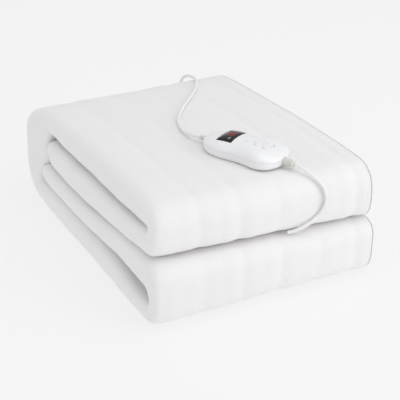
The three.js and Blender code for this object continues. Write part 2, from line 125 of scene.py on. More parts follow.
def add_range(tree, value, band, to_low, to_high):
    """The value mapped from the band to to_low..to_high, and held at the ends."""
    node = add_node(tree, "ShaderNodeMapRange")
    labels = ("From Min", "From Max", "To Min", "To Max")
    for label, number in zip(labels, (*band, to_low, to_high)):
        if isinstance(number, (int, float)):
            node.inputs[label].default_value = number
        else:
            tree.links.new(number, node.inputs[label])
    tree.links.new(value, node.inputs["Value"])
    return node.outputs["Result"]


def add_math(tree, operation, first, second):
    node = add_node(tree, "ShaderNodeMath", operation=operation)
    for socket, value in zip(node.inputs, (first, second)):
        if isinstance(value, (int, float)):
            socket.default_value = value
        else:
            tree.links.new(value, socket)
    return node.outputs["Value"]


def add_mix(tree, first, second, share):
    """The two values mixed, with this share of the first."""
    part = add_math(tree, "MULTIPLY", first, share)
    rest = add_math(tree, "MULTIPLY", second, 1 - share)
    return add_math(tree, "ADD", part, rest)


def make_nap_group():
    """Brushed fleece: short clumped pile, with a height for the bump and a tint for the colour."""
    group, given, made = new_group(
        "fleece_nap",
        [
            ("Vector", "NodeSocketVector", (0.0, 0.0, 0.0)),
            ("Clump Size", "NodeSocketFloat", 0.006),
            ("Tint Depth", "NodeSocketFloat", 0.04),
        ],
        [("Height", "NodeSocketFloat"), ("Tint", "NodeSocketFloat")],
    )
    coords = given.outputs["Vector"]
    clump_scale = add_math(group, "DIVIDE", 1.0, given.outputs["Clump Size"])
    fibre_scale = add_math(group, "MULTIPLY", clump_scale, FIBRES_PER_CLUMP)
    clumps = add_noise(group, coords, clump_scale, detail=3.0, roughness=0.6)
    fibres = add_noise(group, coords, fibre_scale, roughness=0.7)
    drift = add_noise(group, coords, FLEECE_DRIFT_SCALE)
    height = add_mix(group, clumps, fibres, CLUMP_SHARE)
    group.links.new(height, made.inputs["Height"])
    mixed = add_mix(group, height, drift, PILE_SHARE)
    darkest = add_math(group, "SUBTRACT", 1.0, given.outputs["Tint Depth"])
    group.links.new(add_range(group, mixed, NOISE_BAND, darkest, 1.0), made.inputs["Tint"])
    return group


def make_moulded_group():
    """Moulded plastic that has been handled: a very fine grain, and smudges that change how glossy it is."""
    group, given, made = new_group(
        "moulded_skin",
        [
            ("Vector", "NodeSocketVector", (0.0, 0.0, 0.0)),
            ("Gloss Roughness", "NodeSocketFloat", 0.25),
            ("Smudge", "NodeSocketFloat", 0.1),
            ("Grain Size", "NodeSocketFloat", 0.0004),
        ],
        [("Roughness", "NodeSocketFloat"), ("Height", "NodeSocketFloat"), ("Tint", "NodeSocketFloat")],
    )
    coords = given.outputs["Vector"]
    smudges = add_noise(group, coords, SMUDGE_SCALE, detail=4.0, roughness=0.6)
    smudged = add_range(group, smudges, SMUDGE_BAND, 0.0, 1.0)
    extra = add_math(group, "MULTIPLY", smudged, given.outputs["Smudge"])
    group.links.new(add_math(group, "ADD", given.outputs["Gloss Roughness"], extra), made.inputs["Roughness"])
    grain_scale = add_math(group, "DIVIDE", 1.0, given.outputs["Grain Size"])
    group.links.new(add_noise(group, coords, grain_scale), made.inputs["Height"])
    drift = add_noise(group, coords, PLASTIC_DRIFT_SCALE)
    group.links.new(add_range(group, drift, NOISE_BAND, PLASTIC_DARKEST, 1.0), made.inputs["Tint"])
    return group


NAP = make_nap_group()
MOULDED = make_moulded_group()


# Finishes

FLEECE_COLOUR = (0.885, 0.875, 0.875)
PILE_DEPTH = 0.0009
NICKEL_COLOUR = (0.72, 0.69, 0.63)
PIN_SCRATCH_SCALE = 900.0
PIN_SCRATCH_DEPTH = 0.00002


def new_material(name):
    material = bpy.data.materials.new(name)
    material.use_nodes = True
    return material, material.node_tree, material.node_tree.nodes["Principled BSDF"]


def set_inputs(node, values):
    for label, value in values.items():
        node.inputs[label].default_value = value


def object_coords(tree):
    return add_node(tree, "ShaderNodeTexCoord").outputs["Object"]


def add_skin(tree, group, values):
    """One of the shared groups, laid on the piece's own coordinates."""
    skin = add_node(tree, "ShaderNodeGroup", node_tree=group)
    tree.links.new(object_coords(tree), skin.inputs["Vector"])
    set_inputs(skin, values)
    return skin


def tinted(tree, colour, tint):
    """The colour, darkened a little where the tint is under one."""
    mix = add_node(tree, "ShaderNodeMix", data_type="RGBA", blend_type="MULTIPLY")
    mix.inputs["Factor"].default_value = 1.0
    mix.inputs["A"].default_value = (*colour, 1.0)
    tree.links.new(tint, mix.inputs["B"])
    return mix.outputs["Result"]


def bumped(tree, height, depth):
    bump = add_node(tree, "ShaderNodeBump")
    bump.inputs["Strength"].default_value = 1.0
    bump.inputs["Distance"].default_value = depth
    tree.links.new(height, bump.inputs["Height"])
    return bump.outputs["Normal"]


def fleece_material():
    material, tree, shader = new_material("white_fleece")
    nap = add_skin(tree, NAP, {"Clump Size": 0.0035, "Tint Depth": 0.035})
    tree.links.new(tinted(tree, FLEECE_COLOUR, nap.outputs["Tint"]), shader.inputs["Base Color"])
    tree.links.new(bumped(tree, nap.outputs["Height"], PILE_DEPTH), shader.inputs["Normal"])
    set_inputs(
        shader,
        {
            "Roughness": 0.95,
            "Specular IOR Level": 0.15,
            "Sheen Weight": 0.12,
            "Sheen Roughness": 0.6,
            "Subsurface Weight": 0.4,
            "Subsurface Radius": (1.0, 0.97, 0.97),
            "Subsurface Scale": 0.008,
        },
    )
    return material


def plastic_material(name, colour, roughness, smudge, coat=0.0, grain=0.00002, specular=0.5):
    material, tree, shader = new_material(name)
    skin = add_skin(tree, MOULDED, {"Gloss Roughness": roughness, "Smudge": smudge})
    tree.links.new(tinted(tree, colour, skin.outputs["Tint"]), shader.inputs["Base Color"])
    tree.links.new(skin.outputs["Roughness"], shader.inputs["Roughness"])
    tree.links.new(bumped(tree, skin.outputs["Height"], grain), shader.inputs["Normal"])
    set_inputs(shader, {"Specular IOR Level": specular, "Coat Weight": coat, "Coat Roughness": 0.08})
    return material


def lit_material(name, colour, strength):
    material, _, shader = new_material(name)
    lit = (*colour, 1.0)
    values = {"Base Color": lit, "Emission Color": lit, "Emission Strength": strength, "Roughness": 0.4}
    set_inputs(shader, values)
    return material


def pin_material():
    material, tree, shader = new_material("nickel_plate")
    scratches = add_noise(tree, object_coords(tree), PIN_SCRATCH_SCALE, detail=3.0, roughness=0.7)
    set_inputs(shader, {"Base Color": (*NICKEL_COLOUR, 1.0), "Metallic": 1.0})
    tree.links.new(add_range(tree, scratches, NOISE_BAND, 0.18, 0.36), shader.inputs["Roughness"])
    tree.links.new(bumped(tree, scratches, PIN_SCRATCH_DEPTH), shader.inputs["Normal"])
    return material


FLEECE = fleece_material()
SHELL = plastic_material("white_shell_gloss", (0.87, 0.875, 0.89), 0.16, 0.1, coat=0.6)
BUTTON = plastic_material("white_button_satin", (0.83, 0.83, 0.86), 0.32, 0.12)
WINDOW = plastic_material("smoked_window", (0.006, 0.005, 0.006), 0.16, 0.1, specular=0.22)
RELIEF = plastic_material("grey_relief_rubber", (0.74, 0.73, 0.69), 0.55, 0.15, grain=0.00006)
LEAD = plastic_material("white_lead_vinyl", (0.86, 0.855, 0.85), 0.42, 0.12, grain=0.00003)
TIE = plastic_material("white_tie_strap", (0.70, 0.70, 0.68), 0.6, 0.1, grain=0.0001)
PLUG = plastic_material("white_plug_vinyl", (0.86, 0.855, 0.85), 0.45, 0.12, grain=0.00005)
PINS = pin_material()
SLEEVE = plastic_material("black_pin_sleeve", (0.03, 0.03, 0.03), 0.45, 0.1)
DIGITS = lit_material("lit_red_figures", (0.36, 0.008, 0.025), 0.22)
MARK = plastic_material("grey_mark_ink", (0.42, 0.42, 0.44), 0.5, 0.1)
PALE_MARK = plastic_material("pale_window_mark", (0.42, 0.42, 0.44), 0.5, 0.1)


# Pieces

MERGE_WITHIN = 1e-7
SPUN_MERGE_WITHIN = 1e-5


def bare_object(name, maker):
    mesh = bpy.data.meshes.new(name)
    maker.to_mesh(mesh)
    maker.free()
    return link_object(name, mesh)


def finish_piece(piece, material, body="pad_set", smooth_angle=None):
    """The piece shaded smooth up to an angle, with its finish, on its body."""
    if piece.type == "MESH":
        piece.data.shade_smooth()
        if smooth_angle is not None:
            piece.data.set_sharp_from_angle(angle=math.radians(smooth_angle))
    piece.data.materials.clear()
    piece.data.materials.append(material)
    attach(piece, body)
    return piece


def outwards(maker, merge_within=MERGE_WITHIN):
    bmesh.ops.remove_doubles(maker, verts=maker.verts, dist=merge_within)
    bmesh.ops.recalc_face_normals(maker, faces=maker.faces)


def in_millimetres(place, degrees):
    """The frame of a piece made in millimetres and turned about Z."""
    turn = Matrix.Rotation(math.radians(degrees), 4, "Z")
    return Matrix.Translation(Vector(place) * MM) @ turn @ Matrix.Scale(MM, 4)


def only_verts(parts):
    return [part for part in parts if isinstance(part, bmesh.types.BMVert)]


def extruded(maker, edges):
    """A new row of faces along open edges: its new vertices and its new open edges."""
    made = bmesh.ops.extrude_edge_only(maker, edges=edges)["geom"]
    return only_verts(made), [part for part in made if isinstance(part, bmesh.types.BMEdge)]


def capped(maker, edges):
    """Closes the last open ring of a body and turns all its faces outwards."""
    bmesh.ops.contextual_create(maker, geom=edges)
    outwards(maker)


# Leads

# The routes are those of the solids, in millimetres.
MAINS_ROUTE = [
    (-13.2, -72.4, 178.95),
    (-14.8, -69.1, 178.85),
    (-16.4, -65.4, 178.6),
    (-18.7, -57.8, 177.7),
    (-19.8, -48.5, 176.3),
    (-19.2, -37, 174.7),
    (-16.8, -23.5, 173.5),
    (-12.4, -6.5, 172.8),
    (-4.9, 12.5, 172),
    (8.2, 35, 171.3),
    (31.4, 65.5, 170.3),
    (52.2, 89.5, 169.2),
    (76.2, 118.5, 167.8),
    (92.5, 142, 166.2),
    (103, 159.5, 164.6),
    (111, 175, 163),
    (115.8, 189, 161.2),
    (117.7, 205, 159.2),
    (118.2, 221, 155.6),
    (118.8, 235, 149),
    (119.2, 246, 139.4),
    (119.6, 254, 126.5),
    (119.9, 259, 110),
    (120.2, 260.8, 92),
    (120.4, 261, 70),
    (120.6, 261, 48),
    (120.7, 261.4, 29),
    (120.7, 263.8, 17.2),
    (120.6, 270, 8.8),
    (120.4, 277.4, 4.6),
    (120, 285.6, 3.1),
]
PLUG_ROUTE = [
    (72, 338.6, 12.2),
    (60.5, 338, 7.6),
    (49.5, 336, 3.8),
    (39, 334, 2.8),
    (30.6, 332, 3.6),
    (24.8, 329.6, 5.2),
    (19.4, 327.4, 6.6),
    (13.35, 325.7, 6.8),
]
PAD_ROUTE = [
    (56.3, -214.85, 178.95),
    (57.9, -218.25, 178.5),
    (61.3, -224.8, 176.7),
    (66.3, -231.9, 172.5),
    (73, -239.4, 166),
    (79.4, -246, 158.1),
    (83.1, -250.9, 149.3),
    (84.4, -253.1, 139.1),
    (83.4, -253.3, 129.4),
    (79.4, -252.9, 120.6),
    (73, -252.4, 113.4),
    (65, -251.6, 107.5),
    (56.4, -250, 102.5),
    (48, -247.5, 98),
    (40, -244.1, 94.6),
    (32, -240.8, 92.7),
]
LEAD_DIAMETER = 5.0
LEAD_STEP = 3.0

# The coil has turns at three radii in two layers and a last one on top, round a middle in millimetres.
COIL_CENTRE = (82.9, 304.0)
COIL_RADII = (34.0, 29.0, 24.0)
COIL_LAYERS = (2.6, 7.4, 12.2)
COIL_START_DEGREES = -14.0
COIL_TURNS = 7.28
COIL_TURN_POINTS = 24
COIL_STEP_FROM = 0.78  # share of a turn after which the lead steps across to the next one
TIE_DEGREES = 215.0
TIE_LIFT = 0.9  # how far the turns rise to pass the tie
TIE_RISE_DEGREES = 40.0

# Place of each whole turn in the bundle: its radius and its layer
COIL_PLACES = [(0, 0), (1, 0), (2, 0), (2, 1), (1, 1), (0, 1), (0, 2), (0, 2)]


def ease(share):
    share = np.clip(share, 0, 1)
    return share * share * (3 - 2 * share)


def lengths_along(points):
    """How far each point of a line is from the line's start, measured along it."""
    return np.concatenate([[0], np.cumsum(np.linalg.norm(np.diff(points, axis=0), axis=1))])


def coil_points():
    points = []
    count = round(COIL_TURNS * COIL_TURN_POINTS)
    for k in range(count + 1):
        turn = k / COIL_TURN_POINTS
        whole = min(int(turn), len(COIL_PLACES) - 2)
        across = ease((turn - whole - COIL_STEP_FROM) / (1 - COIL_STEP_FROM))
        (radius_a, layer_a), (radius_b, layer_b) = COIL_PLACES[whole], COIL_PLACES[whole + 1]
        radius = COIL_RADII[radius_a] + (COIL_RADII[radius_b] - COIL_RADII[radius_a]) * across
        height = COIL_LAYERS[layer_a] + (COIL_LAYERS[layer_b] - COIL_LAYERS[layer_a]) * across
        degrees = COIL_START_DEGREES + 360 * turn
        from_tie = abs((degrees - TIE_DEGREES + 180) % 360 - 180)
        height += TIE_LIFT * (1 - ease(from_tie / TIE_RISE_DEGREES))
        angle = math.radians(degrees)
        x = COIL_CENTRE[0] + radius * math.cos(angle)
        y = COIL_CENTRE[1] + radius * math.sin(angle)
        points.append((x, y, height))
    return points


def smooth_route(points, step):
    """The centripetal curve through given points, as points about one step apart, in metres."""
    p = np.array(points, float)
    p = np.vstack([2 * p[0] - p[1], p, 2 * p[-1] - p[-2]])
    out = []
    for i in range(1, len(p) - 2):
        p0, p1, p2, p3 = p[i - 1 : i + 3]
        t1 = np.linalg.norm(p1 - p0) ** 0.5
        t2 = t1 + np.linalg.norm(p2 - p1) ** 0.5
        t3 = t2 + np.linalg.norm(p3 - p2) ** 0.5
        steps = max(1, round(float(np.linalg.norm(p2 - p1)) / step))
        for t in np.linspace(t1, t2, steps, endpoint=False):
            a1 = p0 * (t1 - t) / t1 + p1 * t / t1
            a2 = p1 * (t2 - t) / (t2 - t1) + p2 * (t - t1) / (t2 - t1)
            a3 = p2 * (t3 - t) / (t3 - t2) + p3 * (t - t2) / (t3 - t2)
            b1 = a1 * (t2 - t) / t2 + a2 * t / t2
            b2 = a2 * (t3 - t) / (t3 - t1) + a3 * (t - t1) / (t3 - t1)
            out.append(b1 * (t2 - t) / (t2 - t1) + b2 * (t - t1) / (t2 - t1))
    out.append(p[-2])
    return np.array(out) * MM


def make_lead(name, points, replaces):
    """The lead as a round curve, and its length in metres."""
    line = smooth_route(points, LEAD_STEP)
    curve = bpy.data.curves.new(name, "CURVE")
    curve.dimensions = "3D"
    curve.bevel_depth = LEAD_DIAMETER / 2 * MM
    curve.bevel_resolution = 3
    curve.use_fill_caps = True
    spline = curve.splines.new("POLY")
    spline.points.add(len(line) - 1)
    for point, place in zip(spline.points, line):
        point.co = (*place, 1.0)
    spline.use_smooth = True
    lead = finish_piece(link_object(name, curve), LEAD)
    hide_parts(*replaces)
    return lead, float(lengths_along(line)[-1])


mains_lead, mains_length = make_lead(
    "mains_lead_whole",
    MAINS_ROUTE + coil_points() + PLUG_ROUTE,
    ("mains_lead", "mains_coil", "plug_lead"),
)
pad_lead, pad_lead_length = make_lead("pad_lead_whole", PAD_ROUTE, ("pad_lead",))


TIE_HALF_WIDE = 8.2
TIE_HALF_HIGH = 7.75
TIE_FULLNESS = 3.2
TIE_WIDTHS = (0.4, 6.2, 0.4)  # of the strap's two edges and of the band between them
TIE_THICK = 0.7
TIE_HEIGHT = 8.5
TIE_SIDES = 40


def squared_reach(angle, squareness):
    """Cosine and sine of an angle, and the reach of a squared circle in that way."""
    c, s = math.cos(angle), math.sin(angle)
    return c, s, (abs(c) ** squareness + abs(s) ** squareness) ** (1 / squareness)


def make_tie():
    """The strap round the coil's bundle of turns."""
    maker = bmesh.new()
    ring = bmesh.ops.create_circle(maker, segments=TIE_SIDES, radius=1.0)["verts"]
    for vert in ring:
        c, s, reach = squared_reach(math.atan2(vert.co.y, vert.co.x), TIE_FULLNESS)
        vert.co = Vector((TIE_HALF_WIDE * c / reach, TIE_HALF_HIGH * s / reach, -sum(TIE_WIDTHS) / 2))
    edges = list(maker.edges)
    for width in TIE_WIDTHS:
        verts, edges = extruded(maker, edges)
        bmesh.ops.translate(maker, verts=verts, vec=(0, 0, width))
    outwards(maker)
    bmesh.ops.solidify(maker, geom=maker.faces[:], thickness=-TIE_THICK)
    turn = math.radians(TIE_DEGREES)
    x = COIL_CENTRE[0] + COIL_RADII[1] * math.cos(turn)
    y = COIL_CENTRE[1] + COIL_RADII[1] * math.sin(turn)
    place = in_millimetres((x, y, TIE_HEIGHT), TIE_DEGREES) @ Matrix.Rotation(math.pi / 2, 4, "X")
    bmesh.ops.transform(maker, matrix=place, verts=maker.verts)
    bmesh.ops.recalc_face_normals(maker, faces=maker.faces)
    tie = finish_piece(bare_object("coil_strap", maker), TIE, smooth_angle=50)
    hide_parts("coil_tie")
    return tie


coil_strap = make_tie()


# The plug

PLUG_PLACE = in_millimetres((-10, 319, 6.8), 196)
PLUG_SECTIONS = [
    # along, half width, half thickness
    (-24, 3.3, 3.3),
    (-23, 3.7, 3.7),
    (-6, 4.7, 4.7),
    (0, 5.4, 5.1),
    (4, 7.2, 5.8),
    (10, 10.0, 6.4),
    (17, 12.2, 6.7),
    (26, 12.9, 6.7),
    (34, 12.6, 6.6),
    (35.6, 12.0, 6.1),
    (36, 11.2, 5.4),
]
BOOT_GROOVES = (-20.5, -17.5, -14.5, -11.5, -8.5)
GROOVE_SHAPE = ((-0.6, 0), (-0.3, 0.55), (0.6, 0.55), (0.9, 0))  # along from its place, and depth
PLUG_FULLNESS = 1.4  # how much squarer the body is than the round boot
BOOT_ENDS = -2.0
BODY_STARTS = 14.0
PLUG_SIDES = 36


def section_place(angle, along, wide, high):
    """A point of the plug's outline, which turns from round at the boot to a rounded box at the body."""
    share = min(1.0, max(0.0, (along - BOOT_ENDS) / (BODY_STARTS - BOOT_ENDS)))
    c, s, reach = squared_reach(angle, 2 + PLUG_FULLNESS * share)
    return Vector((along, wide * c / reach, high * s / reach))


def make_plug():
    """The plug with its boot, which has a row of grooves."""
    start, root = PLUG_SECTIONS[1], PLUG_SECTIONS[2]
    sections = list(PLUG_SECTIONS)
    for groove in BOOT_GROOVES:
        radius = start[1] + (root[1] - start[1]) * (groove - start[0]) / (root[0] - start[0])
        for along, sunk in GROOVE_SHAPE:
            sections.append((groove + along, radius - sunk, radius - sunk))
    sections.sort()
    maker = bmesh.new()
    ring = bmesh.ops.create_circle(maker, segments=PLUG_SIDES, radius=1.0, cap_ends=True)["verts"]
    for vert in ring:
        vert.co = section_place(math.atan2(vert.co.y, vert.co.x), *sections[0])
    edges = list(maker.edges)
    for (_, wide, high), section in zip(sections, sections[1:]):
        verts, edges = extruded(maker, edges)
        for vert in verts:
            vert.co = section_place(math.atan2(vert.co.z / high, vert.co.y / wide), *section)
    capped(maker, edges)
    bmesh.ops.transform(maker, matrix=PLUG_PLACE, verts=maker.verts)
    plug = finish_piece(bare_object("plug_body", maker), PLUG, smooth_angle=40)
    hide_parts("mains_plug")
    return plug


def spun(profile, segments):
    """A closed body turned about X, from a profile of (along, radius) that starts and ends on the axis."""
    maker = bmesh.new()
    verts = [maker.verts.new((along, 0, radius)) for along, radius in profile]
    edges = [maker.edges.new(pair) for pair in zip(verts, verts[1:])]
    bmesh.ops.spin(
        maker,
        geom=verts + edges,
        cent=(0, 0, 0),
        axis=(1, 0, 0),
        angle=2 * math.pi,
        steps=segments,
        use_merge=True,
    )
    outwards(maker, SPUN_MERGE_WITHIN)
    return maker


PIN_SIDE = 9.3  # from the middle of the plug
PIN_SEGMENTS = 24
PIN_PROFILE = [(30.2, 0), (30.2, 1.98), (53.6, 1.98), (54.4, 1.7), (54.9, 1.1), (55, 0)]
SLEEVE_PROFILE = [(35.9, 0), (35.9, 2.05), (45.6, 2.05), (46, 1.99), (46, 0)]


def make_pins():
    """The two pins, each with a dark sleeve over its root."""
    pieces = []
    for name, side in (("pin_left", PIN_SIDE), ("pin_right", -PIN_SIDE)):
        for label, profile, material in (("", PIN_PROFILE, PINS), ("_sleeve", SLEEVE_PROFILE, SLEEVE)):
            maker = spun(profile, PIN_SEGMENTS)
            bmesh.ops.translate(maker, verts=maker.verts, vec=(0, side, 0))
            bmesh.ops.transform(maker, matrix=PLUG_PLACE, verts=maker.verts)
            made = bare_object("plug_" + name + label, maker)
            piece = finish_piece(made, material, smooth_angle=40)
            if not label:
                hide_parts(name)
            pieces.append(piece)
    return pieces


plug_body = make_plug()
plug_pins = make_pins()


# The folded pad

# It is cut flat, given its thickness and rounded hems, and then folded: across first, into four plies,
# and then along, back and forth. Each row is one place along the strip, as in the solids, in millimetres.
# Columns: y and z of the middle of the four plies, their thickness, the left and right side, how far the row
# runs out of square and out of level, and how far the inner plies hang in slack at the left end.
UPPER_LAYER = [
    (153.5, 103, 34.3, -166, 165, 0, 0, 0),
    (134, 102, 38.5, -171, 167, 0, 0, 0),
    (84, 102.2, 41, -174.5, 168, 0, 0, 0),
    (18, 102.5, 40, -175, 169, 0, 0, 0),
    (-37, 103.2, 39, -175, 169, 0, -0.006, 0),
    (-102, 104, 34, -175, 169, 0, -0.018, 0),
    (-162, 106.1, 31, -174, 169, 0, -0.027, 0),
    (-212, 108.75, 33, -172, 169, -0.04, -0.03, 0),
]
TOP_PANEL = [
    (-212, 150, 41, -166, 169, -0.04, 0, 0),
    (-162, 148.5, 46, -164, 171.5, 0, 0, 0),
    (-102, 147.7, 48, -164, 172.5, 0, 0, 0),
    (-42, 147.7, 48, -164, 173, 0, 0, 0),
    (23, 146.7, 45.5, -164, 173.5, 0, 0, 0),
    (83, 146.2, 42.5, -164, 174.5, 0, 0, 0),
    (133, 146.2, 37, -164, 176, 0, 0, 4),
    (173, 144.8, 32, -165, 177, 0, 0, 22),
]
BACK = [
    (195.6, 139.5, 32, -167, 178, 0, 0, 40),
    (216.2, 130.6, 32, -168.5, 178, 0, 0, 54),
    (231.3, 118.1, 32, -169.5, 177, 0, 0, 62),
    (239.8, 103.6, 32.4, -169.5, 177, 0, 0, 64),
    (241.4, 86, 32.4, -169.5, 176, 0, 0, 69),
    (241.4, 70, 32.4, -169.5, 175, 0, 0, 58),
    (239.1, 57.6, 34, -170.5, 174, 0, 0, 46),
]
UNDER_PANEL = [
    (192, 21, 38, -174, 173, 0, 0, 11),
    (138, 21.3, 42.6, -176, 173, 0, 0, 0),
    (58, 22, 44, -177, 173, 0, 0, 0),
    (-22, 22, 44, -177, 173, 0, 0, 0),
    (-92, 21.5, 43, -177, 173, 0, 0, 0),
    (-142, 18.5, 37, -177, 174, 0, 0, 0),
    (-187, 15, 30, -177, 174, 0, 0, 0),
    (-216, 14.5, 29, -176, 174, 0, 0, 0),
]
LOWER_LAYER = [
    (-216, 67.4, 48, -177, 174, 0, -0.03, 0),
    (-142, 68.7, 41, -177, 173, 0, -0.025, 0),
    (-72, 65.8, 36, -177, 172, 0, -0.012, 0),
    (-2, 63.8, 34.5, -177, 172, 0, -0.003, 0),
    (68, 63, 34, -177, 171, 0, 0, 0),
    (118, 62, 34.5, -176, 170, 0, 0, 0),
    (152, 60, 34, -173.5, 169, 0, 0, 0),
    (172, 57.5, 28, -170, 168, 0, 0, 0),
]
NOSE_STEPS = 30
NOSE_FULL = 2.4  # how square the front folds are on their free side, where 2 is round
NOSE_PRESSED = (4.5, 5.5)  # where they press on each other, above and below the slit
NOSE_ON_FLOOR = 3.2
NOSE_SQUEEZE = 0.2  # the cloth is thinner round the front by this share
TURN_SAMPLES = 361
SIDE_FULL = 3.0
OUTER_SIDE_STEPS = 20
INNER_SIDE_STEPS = 8
OUTER_PLY_STEPS = 62
INNER_PLY_STEPS = 15
HEM_POINTS = (2.5, 5.0, 7.0, 9.0, 11.0, 13.5)  # closer points over a hem, from its edge
HEM_STRETCH = 17.0
CORNER_STEPS = 10
PLY_GAP = 1.1
HEM_INSET_OUTER = 7.0
HEM_INSET_INNER = 3.0
SIDE_FOLD_INSET = 1.5
TIP_ROUNDING = 15.0
TIP_REACH = 6.0
STRIP_STEP = 6.6
SLACK_FROM, SLACK_TO = -10.0, -130.0
SLACK_PLIES = 0.75  # the slack grows to its full depth over this share of the thickness
EDGE_WAVES = ((0.4, 31, 0), (0.25, 11, 1))  # height, length and start of the waves in the left sides
RIM_ROUNDING = 0.34


def squared_turn(angle, squareness):
    """Sine and cosine of an angle on a squared circle."""
    return [math.copysign(abs(v) ** (2 / squareness), v) for v in (math.sin(angle), math.cos(angle))]


def front_fold(start, end, start_square, end_square):
    """Half a turn at the front, from one flat stretch up to the next one.

    Each row has its turning centre, the radius of the middle of the plies, and two ways out from the centre:
    a round one for the innermost ply and a squared one for the outermost.
    """
    start, end = np.array(start, float), np.array(end, float)
    radius = (end[1] - start[1]) / 2
    angles = np.linspace(0, math.pi, TURN_SAMPLES)
    squares = [start_square if angle < math.pi / 2 else end_square for angle in angles]
    outer = np.array([squared_turn(angle, square) for angle, square in zip(angles, squares)])
    length = lengths_along(outer)
    rows = []
    for k in range(1, NOSE_STEPS):
        angle = float(np.interp(length[-1] * k / NOSE_STEPS, length, angles))
        across, along = squared_turn(angle, start_square if angle < math.pi / 2 else end_square)
        row = start + (end - start) * (1 - math.cos(angle)) / 2
        row[:2] = (start[0] + end[0]) / 2, (start[1] + end[1]) / 2
        row[2] *= 1 - NOSE_SQUEEZE * math.sin(angle)
        rows.append([*row, radius, -math.sin(angle), -math.cos(angle), -across, -along])
    return rows


def back_corner(start, end):
    """A quarter turn at the foot of the back, from upright to flat."""
    start, end = np.array(start, float), np.array(end, float)
    rows = []
    for k in range(1, CORNER_STEPS):
        angle = math.pi / 2 * k / CORNER_STEPS
        row = start + (end - start) * k / CORNER_STEPS
        row[0] = start[0] + (end[0] - start[0]) * (1 - math.cos(angle))
        row[1] = start[1] + (end[1] - start[1]) * math.sin(angle)
        rows.append(row)
    return rows


def with_ways(rows):
    """Flat rows with the way out of the cloth, which is square to the way they run."""
    rows = np.array(rows, float)
    run = np.gradient(rows[:, :2], axis=0)
    run /= np.linalg.norm(run, axis=1, keepdims=True)
    out = np.column_stack([-run[:, 1], run[:, 0]])
    return np.column_stack([rows, np.zeros(len(rows)), out, out])


def eased_rows(rows):
    """More rows between far ones, on a smooth curve through all of them."""
    rows = np.array(rows, float)
    padded = np.vstack([2 * rows[0] - rows[1], rows, 2 * rows[-1] - rows[-2]])
    out = []
    for i in range(1, len(padded) - 2):
        a, b, c, d = padded[i - 1 : i + 3]
        span = math.hypot(*(c - b)[:2])
        before = math.hypot(*(b - a)[:2])
        after = math.hypot(*(d - c)[:2])
        leave = ((c - b) / span * before + (b - a) / before * span) / (before + span) * span
        arrive = ((d - c) / after * span + (c - b) / span * after) / (after + span) * span
        steps = max(1, round(span / STRIP_STEP))
        for s in np.arange(steps) / steps:
            s2, s3 = s * s, s * s * s
            places = (2 * s3 - 3 * s2 + 1) * b + (3 * s2 - 2 * s3) * c
            out.append(places + (s3 - 2 * s2 + s) * leave + (s3 - s2) * arrive)
    out.append(rows[-1])
    return np.array(out)


STRIP = np.vstack(
    [
        with_ways(eased_rows(UPPER_LAYER)),
        front_fold(UPPER_LAYER[-1], TOP_PANEL[0], NOSE_PRESSED[0], NOSE_FULL),
        with_ways(eased_rows([*TOP_PANEL, *BACK, *back_corner(BACK[-1], UNDER_PANEL[0]), *UNDER_PANEL])),
        front_fold(UNDER_PANEL[-1], LOWER_LAYER[0], NOSE_ON_FLOOR, NOSE_PRESSED[1]),
        with_ways(eased_rows(LOWER_LAYER)),
    ]
)


def cloth_across(thick, left, right):
    """The middle of the cloth across one place, outer hem to inner hem, as rows of x and t."""
    pitch = thick / 4
    left_centre = left + thick / 2
    right_centre = right - SIDE_FOLD_INSET - pitch
    line = []

    def straight(start, end, t, steps, hem=0):
        """A flat run, with closer points over the hem at its start (1) or its end (-1)."""
        shares = np.linspace(0, 1, steps + 1)
        if hem:
            close = np.array(HEM_POINTS) / abs(end - start)
            shares = np.concatenate([[0], close, np.linspace(HEM_STRETCH / abs(end - start), 1, steps)])
            if hem < 0:
                shares = 1 - shares[::-1]
        line.extend((start + (end - start) * share, t) for share in shares)

    def bend(x, t, radius, start, end, steps, squareness):
        for k in range(1, steps):
            s, c = squared_turn(math.radians(start + (end - start) * k / steps), squareness)
            line.append((x + radius * c, t + radius * s))

    straight(right - HEM_INSET_OUTER, left_centre, 1.5 * pitch, OUTER_PLY_STEPS, 1)
    bend(left_centre, 0, 1.5 * pitch, 90, 270, OUTER_SIDE_STEPS, SIDE_FULL)
    straight(left_centre, right_centre, -1.5 * pitch, INNER_PLY_STEPS)
    bend(right_centre, -pitch, 0.5 * pitch, -90, 90, INNER_SIDE_STEPS, 2)
    straight(right_centre, left_centre, -0.5 * pitch, INNER_PLY_STEPS)
    bend(left_centre, 0, 0.5 * pitch, 270, 90, INNER_SIDE_STEPS, 2)
    straight(left_centre, right - HEM_INSET_INNER, 0.5 * pitch, INNER_PLY_STEPS, -1)
    return np.array(line)


WIRE_PITCH = 60.0
WIRE_FROM = -42.0
CHANNEL_DEPTH = 2.4
CHANNEL_HALF_WIDE = 8.0
BANK_HEIGHT = 0.8  # the soft banks on both sides of a channel
BANK_FROM_CHANNEL = 17.0
BANK_HALF_WIDE = 9.0
BROAD_SWELL = 0.7
SMALL_SWELL = 0.45
RELIEF_ON_TOP = 0.5
RELIEF_INSIDE = 0.2
TOP_PANEL_ABOVE = 100.0
UNDER_PANEL_BELOW = 60.0


